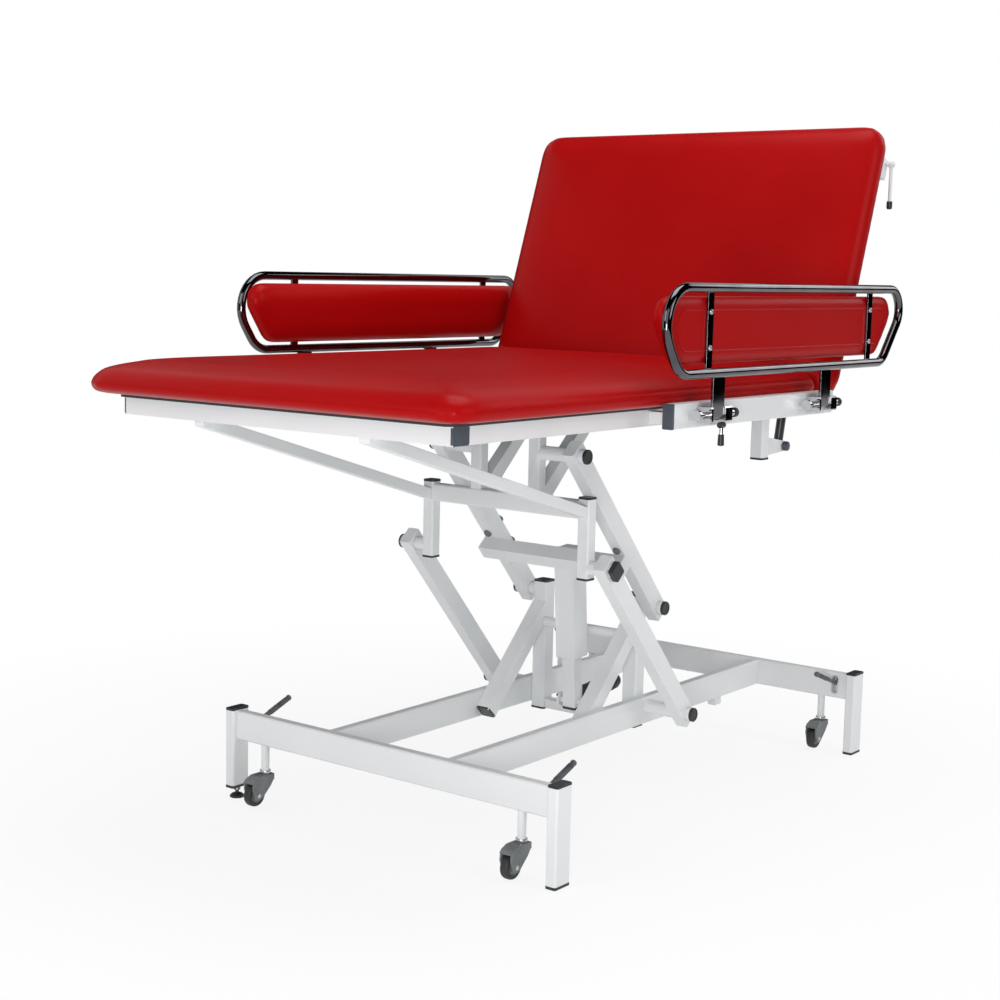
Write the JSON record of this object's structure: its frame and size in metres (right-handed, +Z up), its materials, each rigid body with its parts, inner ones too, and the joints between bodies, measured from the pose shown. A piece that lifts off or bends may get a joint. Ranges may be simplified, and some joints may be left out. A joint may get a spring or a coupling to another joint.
{
  "type": "electric bobath table",
  "caption": "Low wide therapy table with a raised backrest, folding padded side rails and a motor-driven parallelogram lift on a four-legged base with retractable castors.",
  "frame": {"origin": "on the floor under the middle of the whole table at rest", "axes": "+X along the table towards the head end with the backrest, +Y across it, +Z up"},
  "size_m": [1.711, 1.131, 1.5551],
  "materials": {
    "white_paint": "smooth white powder coat",
    "black_paint": "satin black",
    "bright_steel": "ground bright steel",
    "chrome": "polished chrome plate",
    "red_vinyl": "glossy red vinyl upholstery",
    "board": "plywood under black lining cloth",
    "black_plastic": "black moulded plastic",
    "pedal_plastic": "ribbed dark rubber sleeve on a steel bar",
    "grey_plastic": "grey moulded plastic",
    "tyre_rubber": "black tyre"
  },
  "bodies": {
    "base": {"front_end_frame": "white_paint", "rear_end_frame": "white_paint", "long_rail_near": "white_paint", "long_rail_far": "white_paint", "base_post_near": "white_paint", "base_post_far": "white_paint", "drive_cross_member": "white_paint"},
    "levelling_foot": {"levelling_foot": "black_plastic"},
    "lower_arms": {"lower_arm_near": "white_paint", "lower_arm_far": "white_paint"},
    "upper_arms": {"upper_arm_near": "white_paint", "upper_arm_far": "white_paint", "lift_cross_tube": "white_paint"},
    "drive_tube": {"drive_tube": "white_paint", "drive_motor": "black_plastic"},
    "drive_sleeve": {"drive_sleeve": "white_paint"},
    "carriage": {"carriage_yoke": "white_paint", "diagonal_bar_near": "white_paint", "diagonal_bar_far": "white_paint", "hanging_post_near": "white_paint", "hanging_post_far": "white_paint", "seat_frame": "white_paint", "accessory_rail_near": "white_paint", "accessory_rail_far": "white_paint", "rear_mount": "white_paint", "seat_board": "board", "seat_cushion": "red_vinyl", "clamp_front_near": "chrome", "clamp_rear_near": "chrome", "clamp_front_far": "chrome", "clamp_rear_far": "chrome"},
    "backrest": {"backrest_frame": "white_paint", "backrest_board": "board", "backrest_cushion": "red_vinyl"},
    "gas_cylinder": {"gas_cylinder": "black_paint"},
    "gas_rod": {"gas_rod": "bright_steel"},
    "release_lever": {"release_lever": "white_paint"},
    "side_rail_near": {"side_rail_near": "chrome", "side_bolster_near": "red_vinyl"},
    "side_rail_far": {"side_rail_far": "chrome", "side_bolster_far": "red_vinyl"},
    "clamp_lever_near": {"clamp_lever_near": "black_plastic"},
    "clamp_lever_far": {"clamp_lever_far": "black_plastic"},
    "castor_pedal_front_near": {"castor_pedal_front_near": "pedal_plastic"},
    "castor_stem_front_near": {"castor_stem_front_near": "white_paint"},
    "castor_fork_front_near": {"castor_fork_front_near": "grey_plastic"},
    "castor_wheel_front_near": {"castor_wheel_front_near": "tyre_rubber"},
    "castor_pedal_front_far": {"castor_pedal_front_far": "pedal_plastic"},
    "castor_stem_front_far": {"castor_stem_front_far": "white_paint"},
    "castor_fork_front_far": {"castor_fork_front_far": "grey_plastic"},
    "castor_wheel_front_far": {"castor_wheel_front_far": "tyre_rubber"},
    "castor_pedal_rear_near": {"castor_pedal_rear_near": "pedal_plastic"},
    "castor_stem_rear_near": {"castor_stem_rear_near": "white_paint"},
    "castor_fork_rear_near": {"castor_fork_rear_near": "grey_plastic"},
    "castor_wheel_rear_near": {"castor_wheel_rear_near": "tyre_rubber"},
    "castor_pedal_rear_far": {"castor_pedal_rear_far": "pedal_plastic"},
    "castor_stem_rear_far": {"castor_stem_rear_far": "white_paint"},
    "castor_fork_rear_far": {"castor_fork_rear_far": "grey_plastic"},
    "castor_wheel_rear_far": {"castor_wheel_rear_far": "tyre_rubber"}
  },
  "joints": [
    {"name": "lift", "type": "hinge", "parent": "base", "child": "lower_arms", "pos_m": [0.2835, 0, 0.179], "axis": [0, 1, 0], "range_deg": [-45, 6]},
    {"name": "upper_arm_pivot", "type": "hinge", "parent": "base", "child": "upper_arms", "pos_m": [0.2835, 0, 0.42], "axis": [0, 1, 0], "range_deg": [-45, 6]},
    {"name": "carriage_pivot", "type": "hinge", "parent": "lower_arms", "child": "carriage", "pos_m": [-0.0558, 0, 0.5598], "axis": [0, 1, 0], "range_deg": [-6, 45]},
    {"name": "drive_foot", "type": "hinge", "parent": "base", "child": "drive_tube", "pos_m": [0.2255, 0, 0.171], "axis": [0, 1, 0], "range_deg": [-13.14, 1.76]},
    {"name": "drive_head", "type": "hinge", "parent": "upper_arms", "child": "drive_sleeve", "pos_m": [0.1975, 0, 0.533], "axis": [0, 1, 0], "range_deg": [-4.25, 31.87]},
    {"name": "backrest_hinge", "type": "hinge", "parent": "carriage", "child": "backrest", "pos_m": [0.5775, 0, 0.915], "axis": [0, -1, 0], "range_deg": [-70.7, 6]},
    {"name": "gas_foot", "type": "hinge", "parent": "carriage", "child": "gas_cylinder", "pos_m": [0.586, -0.33, 0.7933], "axis": [0, -1, 0], "range_deg": [-35.35, 3]},
    {"name": "gas_head", "type": "hinge", "parent": "backrest", "child": "gas_rod", "pos_m": [0.6353, -0.33, 1.0224], "axis": [0, -1, 0], "range_deg": [-3, 35.35]},
    {"name": "release_swing", "type": "hinge", "parent": "backrest", "child": "release_lever", "pos_m": [0.8016, -0.4885, 1.4701], "axis": [0, 1, 0], "range_deg": [-25, 20]},
    {"name": "side_rail_near_fold", "type": "hinge", "parent": "carriage", "child": "side_rail_near", "pos_m": [0.1875, -0.545, 0.918], "axis": [1, 0, 0], "range_deg": [0, 175]},
    {"name": "side_rail_far_fold", "type": "hinge", "parent": "carriage", "child": "side_rail_far", "pos_m": [0.1875, 0.545, 0.918], "axis": [-1, 0, 0], "range_deg": [0, 175]},
    {"name": "clamp_lever_near_swing", "type": "hinge", "parent": "carriage", "child": "clamp_lever_near", "pos_m": [-0.0575, -0.545, 0.8945], "axis": [-1, 0, 0], "range_deg": [0, 85]},
    {"name": "clamp_lever_far_swing", "type": "hinge", "parent": "carriage", "child": "clamp_lever_far", "pos_m": [-0.0995, 0.545, 0.8945], "axis": [1, 0, 0], "range_deg": [0, 85]},
    {"name": "levelling_screw", "type": "slide", "parent": "base", "child": "levelling_foot", "axis": [0, 0, 1], "range_m": [-0.015, 0]},
    {"name": "pedal_front_near", "type": "hinge", "parent": "base", "child": "castor_pedal_front_near", "pos_m": [-0.4555, -0.398, 0.172], "axis": [0, 1, 0], "range_deg": [0, 35]},
    {"name": "stem_front_near", "type": "slide", "parent": "base", "child": "castor_stem_front_near", "axis": [0, 0, -1], "range_m": [0, 0.02]},
    {"name": "swivel_front_near", "type": "hinge", "parent": "castor_stem_front_near", "child": "castor_fork_front_near", "pos_m": [-0.4555, -0.357, 0.0725], "axis": [0, 0, 1], "continuous": true},
    {"name": "roll_front_near", "type": "hinge", "parent": "castor_fork_front_near", "child": "castor_wheel_front_near", "pos_m": [-0.4895, -0.357, 0.0305], "axis": [0, 1, 0], "continuous": true},
    {"name": "pedal_front_far", "type": "hinge", "parent": "base", "child": "castor_pedal_front_far", "pos_m": [-0.4555, 0.398, 0.172], "axis": [0, 1, 0], "range_deg": [0, 35]},
    {"name": "stem_front_far", "type": "slide", "parent": "base", "child": "castor_stem_front_far", "axis": [0, 0, -1], "range_m": [0, 0.02]},
    {"name": "swivel_front_far", "type": "hinge", "parent": "castor_stem_front_far", "child": "castor_fork_front_far", "pos_m": [-0.4555, 0.357, 0.0725], "axis": [0, 0, 1], "continuous": true},
    {"name": "roll_front_far", "type": "hinge", "parent": "castor_fork_front_far", "child": "castor_wheel_front_far", "pos_m": [-0.4895, 0.357, 0.0305], "axis": [0, 1, 0], "continuous": true},
    {"name": "pedal_rear_near", "type": "hinge", "parent": "base", "child": "castor_pedal_rear_near", "pos_m": [0.8305, -0.398, 0.172], "axis": [0, -1, 0], "range_deg": [0, 35]},
    {"name": "stem_rear_near", "type": "slide", "parent": "base", "child": "castor_stem_rear_near", "axis": [0, 0, -1], "range_m": [0, 0.02]},
    {"name": "swivel_rear_near", "type": "hinge", "parent": "castor_stem_rear_near", "child": "castor_fork_rear_near", "pos_m": [0.8305, -0.357, 0.0725], "axis": [0, 0, 1], "continuous": true},
    {"name": "roll_rear_near", "type": "hinge", "parent": "castor_fork_rear_near", "child": "castor_wheel_rear_near", "pos_m": [0.7965, -0.357, 0.0305], "axis": [0, 1, 0], "continuous": true},
    {"name": "pedal_rear_far", "type": "hinge", "parent": "base", "child": "castor_pedal_rear_far", "pos_m": [0.8305, 0.398, 0.172], "axis": [0, -1, 0], "range_deg": [0, 35]},
    {"name": "stem_rear_far", "type": "slide", "parent": "base", "child": "castor_stem_rear_far", "axis": [0, 0, -1], "range_m": [0, 0.02]},
    {"name": "swivel_rear_far", "type": "hinge", "parent": "castor_stem_rear_far", "child": "castor_fork_rear_far", "pos_m": [0.8305, 0.357, 0.0725], "axis": [0, 0, 1], "continuous": true},
    {"name": "roll_rear_far", "type": "hinge", "parent": "castor_fork_rear_far", "child": "castor_wheel_rear_far", "pos_m": [0.7965, 0.357, 0.0305], "axis": [0, 1, 0], "continuous": true}
  ],
  "couplings": [
    {"joint": "upper_arm_pivot", "follows": "lift", "ratio": 1},
    {"joint": "carriage_pivot", "follows": "lift", "ratio": -1},
    {"joint": "drive_foot", "follows": "lift", "ratio": 0.292},
    {"joint": "drive_head", "follows": "lift", "ratio": -0.708},
    {"joint": "gas_foot", "follows": "backrest_hinge", "ratio": 0.5},
    {"joint": "gas_head", "follows": "backrest_hinge", "ratio": -0.5},
    {"joint": "stem_front_near", "follows": "pedal_front_near", "m_per_rad": 0.03274},
    {"joint": "stem_front_far", "follows": "pedal_front_far", "m_per_rad": 0.03274},
    {"joint": "stem_rear_near", "follows": "pedal_rear_near", "m_per_rad": 0.03274},
    {"joint": "stem_rear_far", "follows": "pedal_rear_far", "m_per_rad": 0.03274}
  ]
}
